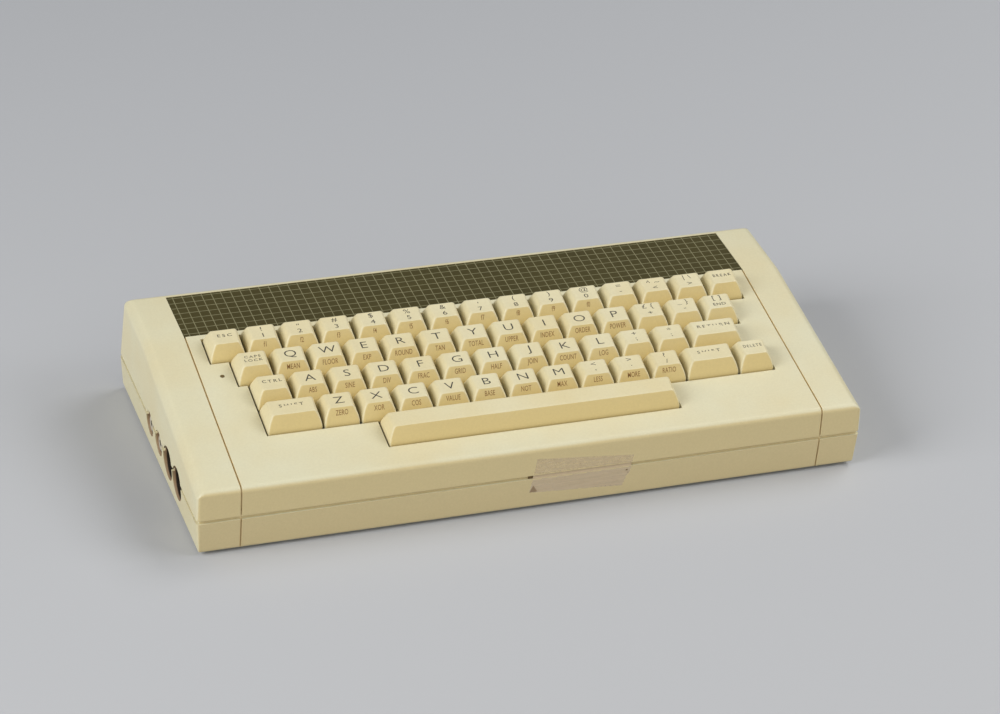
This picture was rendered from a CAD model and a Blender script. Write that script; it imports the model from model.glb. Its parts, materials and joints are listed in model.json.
"""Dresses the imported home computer: a low wedge case, its keyboard, grid strip and sockets.

Lengths in the dataclasses are millimetres unless they say otherwise. Meshes are in metres, in the
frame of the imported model.
"""

import json
import logging
import math
import random
from dataclasses import dataclass, field
from enum import Enum, IntEnum
from functools import partial
from typing import Callable, Iterable, Sequence

import bmesh
import bpy
from mathutils import Matrix, Vector


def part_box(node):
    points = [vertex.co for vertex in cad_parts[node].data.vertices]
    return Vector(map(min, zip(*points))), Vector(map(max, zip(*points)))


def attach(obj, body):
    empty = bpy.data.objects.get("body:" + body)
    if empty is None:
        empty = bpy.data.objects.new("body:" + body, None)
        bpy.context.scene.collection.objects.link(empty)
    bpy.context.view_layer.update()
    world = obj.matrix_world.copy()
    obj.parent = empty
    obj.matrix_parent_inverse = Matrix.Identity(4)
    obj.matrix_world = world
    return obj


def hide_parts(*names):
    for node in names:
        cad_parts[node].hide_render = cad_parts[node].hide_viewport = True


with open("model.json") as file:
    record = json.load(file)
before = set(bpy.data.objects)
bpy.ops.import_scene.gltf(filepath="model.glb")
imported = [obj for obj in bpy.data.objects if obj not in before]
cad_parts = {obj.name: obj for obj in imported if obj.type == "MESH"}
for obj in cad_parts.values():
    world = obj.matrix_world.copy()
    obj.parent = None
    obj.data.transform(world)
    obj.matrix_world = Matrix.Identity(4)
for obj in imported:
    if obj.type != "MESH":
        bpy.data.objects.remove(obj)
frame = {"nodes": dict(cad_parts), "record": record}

LOG = logging.getLogger("computer")
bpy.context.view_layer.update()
MM = 0.001
CASE_BODY = "case"

Colour = tuple[float, float, float]
Socket = bpy.types.NodeSocket


def srgb(red: int, green: int, blue: int) -> Colour:
    """Turns a colour of 0 to 255 per channel into the linear values that shaders take.

    Args:
        red: The red channel.
        green: The green channel.
        blue: The blue channel.

    Returns:
        The linear colour.
    """

    def linear(channel: int) -> float:
        """Undoes the display curve of one channel."""
        value = channel / 255
        return value / 12.92 if value <= 0.04045 else ((value + 0.055) / 1.055) ** 2.4

    return linear(red), linear(green), linear(blue)


# ---- Node trees ----


class Tree:
    """A short way to write a node tree."""

    def __init__(self, tree: bpy.types.NodeTree) -> None:
        """Empties the tree that it will fill."""
        self.tree = tree
        tree.nodes.clear()

    def node(self, kind: str, settings: dict | None = None, **inputs: object) -> bpy.types.Node:
        """Adds a node.

        Args:
            kind: The node's type name.
            settings: Properties of the node itself.
            **inputs: A value or an output socket for each named input; _ stands for a space.

        Returns:
            The new node.
        """
        made = self.tree.nodes.new(kind)
        for name, value in (settings or {}).items():
            setattr(made, name, value)
        for name, value in inputs.items():
            self.feed(made.inputs[name.replace("_", " ")], value)
        return made

    def feed(self, socket: Socket, value: object) -> None:
        """Gives an input its value.

        Args:
            socket: The input.
            value: A number, a colour, or an output socket to link from.
        """
        if isinstance(value, bpy.types.NodeSocket):
            self.tree.links.new(value, socket)
        elif isinstance(value, tuple) and len(value) == 3 and socket.type == "RGBA":
            socket.default_value = (*value, 1.0)
        else:
            socket.default_value = value

    def math(self, operation: str, first: object, second: object = 0.0) -> Socket:
        """Adds a Math node.

        Args:
            operation: Its operation.
            first: The first number or socket.
            second: The second one.

        Returns:
            The result.
        """
        made = self.node("ShaderNodeMath", {"operation": operation})
        for socket, value in zip(made.inputs, (first, second)):
            self.feed(socket, value)
        return made.outputs[0]

    def mix(self, factor: object, first: object, second: object) -> Socket:
        """Mixes two colours.

        Args:
            factor: The share of the second, from 0 to 1.
            first: The first colour or socket.
            second: The second one.

        Returns:
            The mixed colour.
        """
        made = self.node("ShaderNodeMix", {"data_type": "RGBA"})
        self.feed(made.inputs[0], factor)
        self.feed(made.inputs[6], first)
        self.feed(made.inputs[7], second)
        return made.outputs[2]

    def span(
        self, value: Socket, low: float, high: float, to_low: float = 0.0, to_high: float = 1.0
    ) -> Socket:
        """Maps a value from one range to another, and holds it there.

        Args:
            value: The value.
            low: Where its range starts.
            high: Where its range ends, which may be below the start.
            to_low: What the start becomes.
            to_high: What the end becomes.

        Returns:
            The mapped value.
        """
        made = self.node("ShaderNodeMapRange", Value=value, From_Min=low, From_Max=high)
        made.inputs["To Min"].default_value = to_low
        made.inputs["To Max"].default_value = to_high
        return made.outputs[0]

    def place(self) -> Socket:
        """Returns the place on the object, in metres."""
        return self.node("ShaderNodeTexCoord").outputs["Object"]

    def noise(
        self, vector: Socket, scale: object, detail: float = 2.0, rough: float = 0.5
    ) -> Socket:
        """Adds a noise texture and returns its value."""
        made = self.node("ShaderNodeTexNoise", Vector=vector, Scale=scale, Detail=detail)
        made.inputs["Roughness"].default_value = rough
        return made.outputs[0]


class Group(Enum):
    """The shared effects, each a node group."""

    AGE = "uneven_ageing"
    STIPPLE = "moulded_stipple"
    SPECKS = "dust_specks"
    SCUFFS = "fine_scuffs"


def start_group(
    kind: Group, outputs: Sequence[str], **inputs: float
) -> tuple[Tree, dict[str, Socket], Callable[[str, Socket], None]]:
    """Starts a node group with number inputs and outputs.

    Args:
        kind: Which effect it is.
        outputs: The names of its outputs.
        **inputs: The name and usual value of each input; _ stands for a space.

    Returns:
        The tree, its input sockets by name, and a function that sets an output.
    """
    group = bpy.data.node_groups.new(kind.value, "ShaderNodeTree")
    tree = Tree(group)
    for name, value in inputs.items():
        made = group.interface.new_socket(
            name.replace("_", " "), in_out="INPUT", socket_type="NodeSocketFloat"
        )
        made.default_value = value
    for name in outputs:
        group.interface.new_socket(name, in_out="OUTPUT", socket_type="NodeSocketFloat")
    given = tree.node("NodeGroupInput")
    result = tree.node("NodeGroupOutput")
    sockets = {name: given.outputs[name.replace("_", " ")] for name in inputs}

    def put(name: str, value: Socket) -> None:
        """Links an output of the group."""
        tree.feed(result.inputs[name], value)

    return tree, sockets, put


def build_age() -> None:
    """Makes the slow drift of colour that old plastic shows, as a mask from 0 to 1."""
    tree, given, put = start_group(Group.AGE, ["Mask"], Size=0.05, Contrast=1.0)
    scale = tree.math("DIVIDE", 1.0, given["Size"])
    broad = tree.noise(tree.place(), scale, 3.0, 0.55)
    centred = tree.math("MULTIPLY", tree.math("SUBTRACT", broad, 0.5), given["Contrast"])
    put("Mask", tree.math("ADD", centred, 0.5))


def build_stipple() -> None:
    """Makes the fine moulded texture of a case, as a height from 0 to 1."""
    tree, given, put = start_group(Group.STIPPLE, ["Height"], Grain=0.0006, Unevenness=0.3)
    place = tree.place()
    cells = tree.node("ShaderNodeTexVoronoi", {"feature": "SMOOTH_F1"}, Vector=place)
    tree.feed(cells.inputs["Scale"], tree.math("DIVIDE", 1.0, given["Grain"]))
    cells.inputs["Smoothness"].default_value = 0.6
    fine = tree.noise(place, tree.math("DIVIDE", 0.8, given["Grain"]), 2.0, 0.6)
    rough = tree.math("MULTIPLY", tree.math("SUBTRACT", fine, 0.5), given["Unevenness"])
    put("Height", tree.math("ADD", cells.outputs["Distance"], rough))


def build_specks() -> None:
    """Makes a few tiny specks of dirt, as a mask from 0 to 1."""
    tree, given, put = start_group(Group.SPECKS, ["Mask"], Spacing=0.02, Radius=0.03)
    cells = tree.node("ShaderNodeTexVoronoi", {"feature": "F1"}, Vector=tree.place())
    tree.feed(cells.inputs["Scale"], tree.math("DIVIDE", 1.0, given["Spacing"]))
    near = tree.math("LESS_THAN", cells.outputs["Distance"], given["Radius"])
    split = tree.node("ShaderNodeSeparateColor", Color=cells.outputs["Color"])
    put("Mask", tree.math("MULTIPLY", near, tree.math("POWER", split.outputs[0], 2.0)))


def build_scuffs() -> None:
    """Makes long faint scuffs, as a mask from 0 to 1."""
    tree, given, put = start_group(Group.SCUFFS, ["Mask"], Size=0.01, Amount=0.5)
    stretched = tree.node("ShaderNodeMapping", Vector=tree.place())
    stretched.inputs["Scale"].default_value = (1.0, 6.0, 3.0)
    stretched.inputs["Rotation"].default_value = (0.2, 0.4, 0.6)
    streaks = tree.noise(stretched.outputs[0], tree.math("DIVIDE", 1.0, given["Size"]), 4.0, 0.7)
    strong = tree.span(streaks, 0.55, 0.75)
    put("Mask", tree.math("MULTIPLY", strong, given["Amount"]))


def use_group(tree: Tree, kind: Group, output: str, **inputs: float) -> Socket:
    """Places a shared effect in a material.

    Args:
        tree: The material's tree.
        kind: Which effect.
        output: Which of its outputs to give back.
        **inputs: Its values here.

    Returns:
        The output socket.
    """
    made = tree.node("ShaderNodeGroup", {"node_tree": bpy.data.node_groups[kind.value]}, **inputs)
    return made.outputs[output]


# ---- Finishes ----


MADE_MATERIALS: dict[str, bpy.types.Material] = {}


class Finish:
    """A material of the computer: its subclasses fill the shader."""

    name: str

    def material(self) -> bpy.types.Material:
        """Builds the material, or gives back the one that was built before.

        Returns:
            The material.
        """
        if self.name in MADE_MATERIALS:
            return MADE_MATERIALS[self.name]
        made = bpy.data.materials.new(self.name)
        MADE_MATERIALS[self.name] = made
        made.use_nodes = True
        tree = Tree(made.node_tree)
        shader = tree.node("ShaderNodeBsdfPrincipled")
        output = tree.node("ShaderNodeOutputMaterial", Surface=shader.outputs[0])
        output.is_active_output = True
        self.fill(tree, shader)
        return made

    def fill(self, tree: Tree, shader: bpy.types.Node) -> None:
        """Sets the shader's inputs.

        Args:
            tree: The material's tree.
            shader: Its shader.
        """
        raise NotImplementedError


def bump(tree: Tree, shader: bpy.types.Node, height: Socket, depth: float) -> None:
    """Gives the shader a bump of a real depth, in metres."""
    made = tree.node("ShaderNodeBump", Height=height, Distance=depth, Strength=1.0)
    tree.feed(shader.inputs["Normal"], made.outputs[0])


@dataclass(frozen=True)
class MouldedPlastic(Finish):
    """Satin moulded plastic that has aged unevenly, most of all on the faces towards the front."""

    name: str
    colour: Colour
    aged: Colour
    grain: float = 0.6
    depth: float = 0.02
    roughness: float = 0.5
    specks: float = 0.0
    front_ageing: float = 0.8
    mottle_share: float = 0.07
    mottle: Colour = (0.24, 0.19, 0.1)
    dirt: Colour = srgb(104, 84, 50)

    def base_colour(self, tree: Tree, mottle: Socket) -> Socket:
        """Mixes the clean and aged colours, under a fine mottle and a few specks.

        Args:
            tree: The material's tree.
            mottle: The fine noise that mottles the colour.

        Returns:
            The colour.
        """
        age = use_group(tree, Group.AGE, "Mask", Size=0.045, Contrast=0.8)
        normal = tree.node("ShaderNodeTexCoord").outputs["Normal"]
        facing = tree.node("ShaderNodeSeparateXYZ", Vector=normal).outputs[1]
        towards_front = tree.span(facing, -0.7, -0.98)
        age = tree.math("ADD", age, tree.math("MULTIPLY", towards_front, self.front_ageing))
        base = tree.mix(tree.span(age, 0.3, 1.1), self.colour, self.aged)
        base = tree.mix(tree.span(mottle, 0.3, 0.7, 0.0, self.mottle_share), base, self.mottle)
        if self.specks:
            dirt = use_group(tree, Group.SPECKS, "Mask", Spacing=0.022, Radius=0.017)
            base = tree.mix(tree.math("MULTIPLY", dirt, self.specks), base, self.dirt)
        return base

    def fill(self, tree: Tree, shader: bpy.types.Node) -> None:
        """Lays the colour, and adds the moulded texture with faint scuffs.

        Args:
            tree: The material's tree.
            shader: Its shader.
        """
        mottle = tree.noise(tree.place(), 900.0, 2.0, 0.6)
        tree.feed(shader.inputs["Base Color"], self.base_colour(tree, mottle))
        scuff = use_group(tree, Group.SCUFFS, "Mask", Size=0.012, Amount=0.12)
        satin = tree.span(mottle, 0.2, 0.8, self.roughness - 0.04, self.roughness + 0.05)
        tree.feed(shader.inputs["Roughness"], tree.math("SUBTRACT", satin, scuff))
        shader.inputs["IOR"].default_value = 1.5
        texture = use_group(tree, Group.STIPPLE, "Height", Grain=self.grain * MM)
        bump(tree, shader, texture, self.depth * MM)


@dataclass(frozen=True)
class ShellPlastic(MouldedPlastic):
    """The plastic of a shell, with yellowed style grooves and shaded port holes."""

    groove_back: float = 0.0
    groove_x: float = 150.5
    groove_half_w: float = 0.55
    groove_floor_half_w: float = 0.36
    groove: Colour = srgb(222, 200, 152)
    side_x: float = 172.5
    port_z: float = 17.2
    port_slack: float = 0.15
    port_holes: tuple[tuple[float, float], ...] = (
        (-40.5, 8.8),
        (-21.8, 8.8),
        (-3.1, 6.6),
        (15.6, 6.6),
    )
    port_brown: Colour = srgb(168, 128, 98)
    port_dark: Colour = srgb(24, 19, 12)
    brown_depths: tuple[float, float] = (0.2, 1.0)
    dark_depths: tuple[float, float] = (1.6, 2.2)
    brown_share: float = 0.75
    dark_share: float = 0.97

    def port_depth(self, tree: Tree) -> Socket:
        """Measures how far inside a port's hole a point of the side wall lies.

        Args:
            tree: The material's tree.

        Returns:
            The depth in metres, and 0 away from the holes.
        """
        split = tree.node("ShaderNodeSeparateXYZ", Vector=tree.place())
        rise = tree.math("SUBTRACT", split.outputs[2], self.port_z * MM)
        depth = tree.math("ADD", split.outputs[0], self.side_x * MM)
        inside = tree.math("LESS_THAN", split.outputs[0], 0.0)
        found = None
        for y, radius in self.port_holes:
            along = tree.math("SUBTRACT", split.outputs[1], y * MM)
            off = tree.math(
                "ADD", tree.math("MULTIPLY", along, along), tree.math("MULTIPLY", rise, rise)
            )
            near = tree.math("LESS_THAN", off, ((radius + self.port_slack) * MM) ** 2)
            found = near if found is None else tree.math("MAXIMUM", found, near)
        return tree.math("MULTIPLY", depth, tree.math("MULTIPLY", inside, found))

    def groove_tint(self, tree: Tree) -> Socket:
        """Masks the insides of the two style grooves.

        Args:
            tree: The material's tree.

        Returns:
            The mask.
        """
        split = tree.node("ShaderNodeSeparateXYZ", Vector=tree.place())
        across = tree.math("ABSOLUTE", split.outputs[0])
        off = tree.math("ABSOLUTE", tree.math("SUBTRACT", across, self.groove_x * MM))
        near = tree.span(off, self.groove_half_w * MM, self.groove_floor_half_w * MM)
        ahead = tree.math("LESS_THAN", split.outputs[1], self.groove_back * MM)
        worn = tree.span(tree.noise(tree.place(), 180.0), 0.3, 0.6, 0.7, 1.0)
        return tree.math("MULTIPLY", tree.math("MULTIPLY", near, ahead), worn)

    def base_colour(self, tree: Tree, mottle: Socket) -> Socket:
        """Tints the grooves, and shades the port holes from brown to dark.

        Args:
            tree: The material's tree.
            mottle: The fine noise that mottles the colour.

        Returns:
            The colour.
        """
        base = super().base_colour(tree, mottle)
        base = tree.mix(self.groove_tint(tree), base, self.groove)
        depth = self.port_depth(tree)
        for colour, (first, last), share in (
            (self.port_brown, self.brown_depths, self.brown_share),
            (self.port_dark, self.dark_depths, self.dark_share),
        ):
            base = tree.mix(tree.span(depth, first * MM, last * MM, 0.0, share), base, colour)
        return base


@dataclass(frozen=True)
class GridFilm(Finish):
    """The dark strip with its fine light grid, squared to the strip's own slope."""

    name: str
    ground: Colour
    line: Colour
    strip: "Slope"
    pitch_x: float = 5.06
    pitch_s: float = 4.93
    first_x: float = -1.0
    first_s: float = 2.5
    line_w: float = 0.4
    worn_ground: float = 0.86
    roughness: float = 0.66
    relief: float = 0.008

    def on_line(self, tree: Tree, along: Socket, first: float, pitch: float) -> Socket:
        """Masks the lines of one direction.

        Args:
            tree: The material's tree.
            along: The coordinate that the lines repeat along, in metres.
            first: Where one line lies.
            pitch: The spacing of the lines.

        Returns:
            A mask that is 1 on a line.
        """
        cells = tree.math("DIVIDE", tree.math("SUBTRACT", along, first * MM), pitch * MM)
        apart = tree.math("PINGPONG", cells, 0.5)
        half = self.line_w / pitch / 2
        return tree.span(apart, half * 1.3, half * 0.7)

    def fill(self, tree: Tree, shader: bpy.types.Node) -> None:
        """Draws the grid from the place on the strip.

        Args:
            tree: The material's tree.
            shader: Its shader.
        """
        split = tree.node("ShaderNodeSeparateXYZ", Vector=tree.place())
        back = tree.math("SUBTRACT", split.outputs[1], self.strip.start_y * MM)
        up_slope = tree.math("DIVIDE", back, math.cos(math.radians(self.strip.angle)))
        lines = tree.math(
            "MAXIMUM",
            self.on_line(tree, split.outputs[0], self.first_x, self.pitch_x),
            self.on_line(tree, up_slope, self.first_s, self.pitch_s),
        )
        worn = tree.noise(tree.place(), 260.0, 3.0, 0.6)
        strength = tree.math("MULTIPLY", lines, tree.span(worn, 0.25, 0.6, 0.7, 1.0))
        shade = use_group(tree, Group.AGE, "Mask", Size=0.03, Contrast=1.5)
        worn_colour = tuple(self.worn_ground * channel for channel in self.ground)
        base = tree.mix(tree.span(shade, 0.2, 0.8), self.ground, worn_colour)
        tree.feed(shader.inputs["Base Color"], tree.mix(strength, base, self.line))
        scuff = use_group(tree, Group.SCUFFS, "Mask", Size=0.02, Amount=0.2)
        tree.feed(shader.inputs["Roughness"], tree.math("SUBTRACT", self.roughness, scuff))
        shader.inputs["Specular IOR Level"].default_value = 0.2
        grain = use_group(tree, Group.STIPPLE, "Height", Grain=0.0004)
        raised = tree.math("ADD", tree.math("MULTIPLY", grain, 0.4), lines)
        bump(tree, shader, raised, self.relief * MM)


@dataclass(frozen=True)
class Metal(Finish):
    """Sheet, wire or plated metal with fine scuffs."""

    name: str
    colour: Colour
    roughness: float = 0.3
    dull: Colour = (0.3, 0.28, 0.25)

    def fill(self, tree: Tree, shader: bpy.types.Node) -> None:
        """Mixes bright and dull patches, and scratches the roughness.

        Args:
            tree: The material's tree.
            shader: Its shader.
        """
        shader.inputs["Metallic"].default_value = 1.0
        patch = use_group(tree, Group.AGE, "Mask", Size=0.006, Contrast=1.8)
        base = tree.mix(tree.span(patch, 0.5, 1.1), self.colour, self.dull)
        tree.feed(shader.inputs["Base Color"], base)
        scuff = use_group(tree, Group.SCUFFS, "Mask", Size=0.003, Amount=0.25)
        tree.feed(shader.inputs["Roughness"], tree.math("ADD", self.roughness, scuff))
        bump(tree, shader, tree.noise(tree.place(), 2400.0, 2.0), 0.003 * MM)


@dataclass(frozen=True)
class PlainPlastic(Finish):
    """Moulded plastic or rubber of one colour, a little dusty."""

    name: str
    colour: Colour
    dusty: Colour
    roughness: float = 0.45
    grain: float = 0.3

    def fill(self, tree: Tree, shader: bpy.types.Node) -> None:
        """Adds dust in patches and a fine grain.

        Args:
            tree: The material's tree.
            shader: Its shader.
        """
        patch = use_group(tree, Group.AGE, "Mask", Size=0.012, Contrast=1.6)
        base = tree.mix(tree.span(patch, 0.3, 1.1), self.colour, self.dusty)
        tree.feed(shader.inputs["Base Color"], base)
        rough = tree.span(patch, 0.2, 0.9, self.roughness - 0.05, self.roughness + 0.12)
        tree.feed(shader.inputs["Roughness"], rough)
        texture = use_group(tree, Group.STIPPLE, "Height", Grain=self.grain * MM)
        bump(tree, shader, texture, 0.01 * MM)


@dataclass(frozen=True)
class BoardMask(Finish):
    """A circuit board: solder mask over copper tracks."""

    name: str
    mask: Colour
    track: Colour

    def fill(self, tree: Tree, shader: bpy.types.Node) -> None:
        """Draws tracks as the edges of square cells.

        Args:
            tree: The material's tree.
            shader: Its shader.
        """
        settings = {"feature": "F1", "distance": "CHEBYCHEV"}
        cells = tree.node("ShaderNodeTexVoronoi", settings, Vector=tree.place(), Scale=120.0)
        split = tree.node("ShaderNodeSeparateColor", Color=cells.outputs["Color"])
        bands = tree.math("PINGPONG", tree.math("MULTIPLY", split.outputs[0], 9.0), 1.0)
        tracks = tree.span(bands, 0.35, 0.65)
        tree.feed(shader.inputs["Base Color"], tree.mix(tracks, self.mask, self.track))
        tree.feed(shader.inputs["Roughness"], tree.span(tracks, 0.0, 1.0, 0.42, 0.3))
        bump(tree, shader, tracks, 0.03 * MM)


@dataclass(frozen=True)
class RibbedLead(Finish):
    """A flat cable of parallel wires."""

    name: str
    colour: Colour
    pitch: float = 1.27
    valley: float = 0.55

    def fill(self, tree: Tree, shader: bpy.types.Node) -> None:
        """Ribs the cable across its width.

        Args:
            tree: The material's tree.
            shader: Its shader.
        """
        split = tree.node("ShaderNodeSeparateXYZ", Vector=tree.place())
        rib = tree.math("PINGPONG", tree.math("DIVIDE", split.outputs[0], self.pitch * MM), 0.5)
        shade = tree.span(rib, 0.0, 0.2)
        dark = tuple(self.valley * channel for channel in self.colour)
        tree.feed(shader.inputs["Base Color"], tree.mix(shade, dark, self.colour))
        tree.feed(shader.inputs["Roughness"], tree.span(shade, 0.0, 1.0, 0.6, 0.42))
        bump(tree, shader, rib, 0.3 * MM)


@dataclass(frozen=True)
class Ink(Finish):
    """Ink set into a key cap."""

    name: str
    colour: Colour
    worn: Colour

    def fill(self, tree: Tree, shader: bpy.types.Node) -> None:
        """Fades the ink a little in places.

        Args:
            tree: The material's tree.
            shader: Its shader.
        """
        patch = tree.noise(tree.place(), 700.0, 3.0, 0.6)
        base = tree.mix(tree.span(patch, 0.4, 0.8), self.colour, self.worn)
        tree.feed(shader.inputs["Base Color"], base)
        tree.feed(shader.inputs["Roughness"], tree.span(patch, 0.3, 0.7, 0.45, 0.6))
        bump(tree, shader, patch, 0.002 * MM)


@dataclass(frozen=True)
class TapeFilm(Finish):
    """The thin dusty remnant of an adhesive tape, which the case shows through."""

    name: str
    colour: Colour
    dirt: Colour
    shadow: Colour
    gap_z: float = 20.0
    gap_half_w: float = 0.8
    gap_blend: float = 0.5
    shadow_share: float = 0.75
    cover: float = 0.62
    cover_above: float = 0.4
    blotchiness: float = 0.12
    streakiness: float = 0.08
    streak_scale: tuple[float, float, float] = (40.0, 300.0, 900.0)

    def fill(self, tree: Tree, shader: bpy.types.Node) -> None:
        """Mottles the film, and lets it cover less where the glue has gone.

        Args:
            tree: The material's tree.
            shader: Its shader.
        """
        blotch = tree.noise(tree.place(), 420.0, 4.0, 0.65)
        streak = tree.node("ShaderNodeMapping", Vector=tree.place(), Scale=self.streak_scale)
        lines = tree.noise(streak.outputs[0], 1.0, 3.0, 0.6)
        tone = tree.mix(tree.span(blotch, 0.45, 0.75), self.colour, self.dirt)
        height = tree.node("ShaderNodeSeparateXYZ", Vector=tree.place()).outputs[2]
        off_gap = tree.math("ABSOLUTE", tree.math("SUBTRACT", height, self.gap_z * MM))
        edge = self.gap_half_w + self.gap_blend
        bridge = tree.span(off_gap, edge * MM, self.gap_half_w * MM)
        tone = tree.mix(tree.math("MULTIPLY", bridge, self.shadow_share), tone, self.shadow)
        tree.feed(shader.inputs["Base Color"], tone)
        tree.feed(shader.inputs["Roughness"], tree.span(blotch, 0.3, 0.7, 0.4, 0.6))
        low, high = (self.gap_z - 1) * MM, (self.gap_z + 1) * MM
        cover = tree.span(height, low, high, self.cover, self.cover_above)
        patchy = tree.span(blotch, 0.3, 0.75, -self.blotchiness, self.blotchiness)
        streaky = tree.span(lines, 0.4, 0.7, -self.streakiness, self.streakiness)
        cover = tree.math("ADD", tree.math("ADD", cover, patchy), streaky)
        tree.feed(shader.inputs["Alpha"], tree.math("MAXIMUM", cover, bridge))
        bump(tree, shader, blotch, 0.03 * MM)


@dataclass(frozen=True)
class FloorPaper(Finish):
    """Pale cool paper, a little darker towards the back."""

    name: str
    near: Colour = srgb(187, 188, 190)
    far: Colour = srgb(168, 171, 176)
    near_y: float = -0.4
    far_y: float = 1.6

    def fill(self, tree: Tree, shader: bpy.types.Node) -> None:
        """Shades the paper from front to back.

        Args:
            tree: The material's tree.
            shader: Its shader.
        """
        split = tree.node("ShaderNodeSeparateXYZ", Vector=tree.place())
        share = tree.span(split.outputs[1], self.near_y, self.far_y)
        tree.feed(shader.inputs["Base Color"], tree.mix(share, self.near, self.far))
        shader.inputs["Roughness"].default_value = 0.9
        shader.inputs["Specular IOR Level"].default_value = 0.1


@dataclass(frozen=True)
class Slope:
    """A sloping face of the case, with axes x, s up the slope and h square to it."""

    start_y: float
    start_z: float
    angle: float

    def matrix(self, x: float, s: float) -> Matrix:
        """Gives the frame of a point of the face, from millimetres to metres.

        Args:
            x: The point's place along the face.
            s: Its place up the slope.

        Returns:
            The frame.
        """
        shift = Matrix.Translation((0, self.start_y * MM, self.start_z * MM))
        turn = Matrix.Rotation(math.radians(self.angle), 4, "X")
        point = Matrix.Translation((x * MM, s * MM, 0.0))
        return shift @ turn @ point @ Matrix.Scale(MM, 4)


DECK = Slope(-81.0, 36.5, 9.3)
DECK_LEN = 114.5
STRIP = Slope(
    DECK.start_y + DECK_LEN * math.cos(math.radians(DECK.angle)),
    DECK.start_z + DECK_LEN * math.sin(math.radians(DECK.angle)),
    1.5,
)

CASE_UPPER = ShellPlastic(
    "upper_shell_plastic",
    srgb(216, 212, 182),
    srgb(213, 195, 145),
    grain=0.55,
    depth=0.012,
    roughness=0.46,
    specks=0.75,
    groove_back=STRIP.start_y,
)
CASE_LOWER = ShellPlastic(
    "lower_shell_plastic",
    srgb(215, 210, 178),
    srgb(212, 194, 146),
    grain=0.75,
    depth=0.03,
    specks=0.5,
    groove_back=-78.5,
)
KEY_PLASTIC = MouldedPlastic(
    "cap_plastic",
    srgb(221, 213, 178),
    srgb(215, 193, 132),
    grain=0.35,
    depth=0.006,
    roughness=0.42,
)
GRID_FILM = GridFilm("grid_film", srgb(70, 64, 33), srgb(134, 130, 98), STRIP)
BLACK_PLASTIC = PlainPlastic("black_moulding", srgb(30, 29, 28), srgb(70, 66, 60))
RUBBER = PlainPlastic("foot_rubber", srgb(34, 33, 32), srgb(72, 69, 64), roughness=0.7, grain=0.5)
SOCKET_PLASTIC = PlainPlastic(
    "socket_moulding", srgb(34, 31, 28), srgb(78, 68, 56), roughness=0.4
)
INSULATOR = PlainPlastic(
    "socket_insulator", srgb(196, 188, 168), srgb(150, 138, 116), roughness=0.4
)
CAPACITOR_SLEEVE = PlainPlastic(
    "capacitor_sleeve_film", srgb(42, 70, 110), srgb(80, 98, 122), roughness=0.3
)
LAMP_LENS = PlainPlastic("lamp_lens", srgb(98, 80, 44), srgb(116, 96, 56), grain=0.2)
BOARD_MASK = BoardMask("board_mask", srgb(54, 92, 58), srgb(84, 120, 70))
RIBBON = RibbedLead("ribbon_lead", srgb(176, 170, 150))
PLATE_STEEL = Metal("plate_sheet", (0.5, 0.5, 0.51), 0.42)
SPRING_STEEL = Metal("spring_wire", (0.62, 0.62, 0.63), 0.25)
SOCKET_METAL = Metal("socket_tin", (0.8, 0.78, 0.74), 0.18)
ALUMINIUM = Metal("sink_aluminium", (0.68, 0.68, 0.69), 0.38)
SCREW_STEEL = Metal("screw_plating", (0.55, 0.53, 0.48), 0.34)
CONTACT_BRASS = Metal("contact_gilding", (0.78, 0.6, 0.28), 0.28)
TOP_INK = Ink("legend_ink", srgb(44, 42, 38), srgb(70, 66, 56))
SKIRT_INK = Ink("skirt_ink", srgb(128, 88, 36), srgb(152, 112, 56))
TAPE = TapeFilm("old_tape", srgb(226, 207, 178), srgb(208, 188, 158), srgb(186, 164, 128))
TAPE_FOLD = PlainPlastic("folded_tape", srgb(158, 136, 106), srgb(140, 116, 86), roughness=0.55)
GRIME = PlainPlastic("grime", srgb(92, 70, 38), srgb(118, 94, 58), roughness=0.8)

NODE_FINISHES: dict[str, Finish] = {
    "upper_case": CASE_UPPER,
    "lower_case": CASE_LOWER,
    "grid_panel": GRID_FILM,
    "keyboard_plate": PLATE_STEEL,
    "keyboard_board": BOARD_MASK,
    "switch_housings": BLACK_PLASTIC,
    "key_springs": SPRING_STEEL,
    "space_bar_wire": SPRING_STEEL,
    "caps_lock_lamp": LAMP_LENS,
    "ribbon_cable": RIBBON,
    "main_board": BOARD_MASK,
    "logic_array": BLACK_PLASTIC,
    "board_chips": BLACK_PLASTIC,
    "rf_modulator": SOCKET_METAL,
    "video_socket": SOCKET_METAL,
    "din_sockets": SOCKET_PLASTIC,
    "power_jack": BLACK_PLASTIC,
    "heat_sink": ALUMINIUM,
    "capacitors": CAPACITOR_SLEEVE,
    "loudspeaker": BLACK_PLASTIC,
    "screws_and_inserts": SCREW_STEEL,
    "rubber_feet": RUBBER,
}


# ---- Meshes ----


def finished_object(
    name: str, mesh: bmesh.types.BMesh, finishes: Sequence[Finish], smooth: float = 35.0
) -> bpy.types.Object:
    """Turns a bmesh into an object, and reports it.

    Args:
        name: The piece's name.
        mesh: The bmesh, which is freed.
        finishes: A finish for each material index.
        smooth: The angle in degrees under which edges are shaded smooth.

    Returns:
        The new object, linked to the scene.
    """
    data = bpy.data.meshes.new(name)
    bmesh.ops.recalc_face_normals(mesh, faces=mesh.faces)
    mesh.to_mesh(data)
    mesh.free()
    for finish in finishes:
        data.materials.append(finish.material())
    data.shade_smooth()
    data.set_sharp_from_angle(angle=math.radians(smooth))
    piece = bpy.data.objects.new(name, data)
    bpy.context.scene.collection.objects.link(piece)
    LOG.info("piece %s: %d faces", name, len(data.polygons))
    return piece


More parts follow.
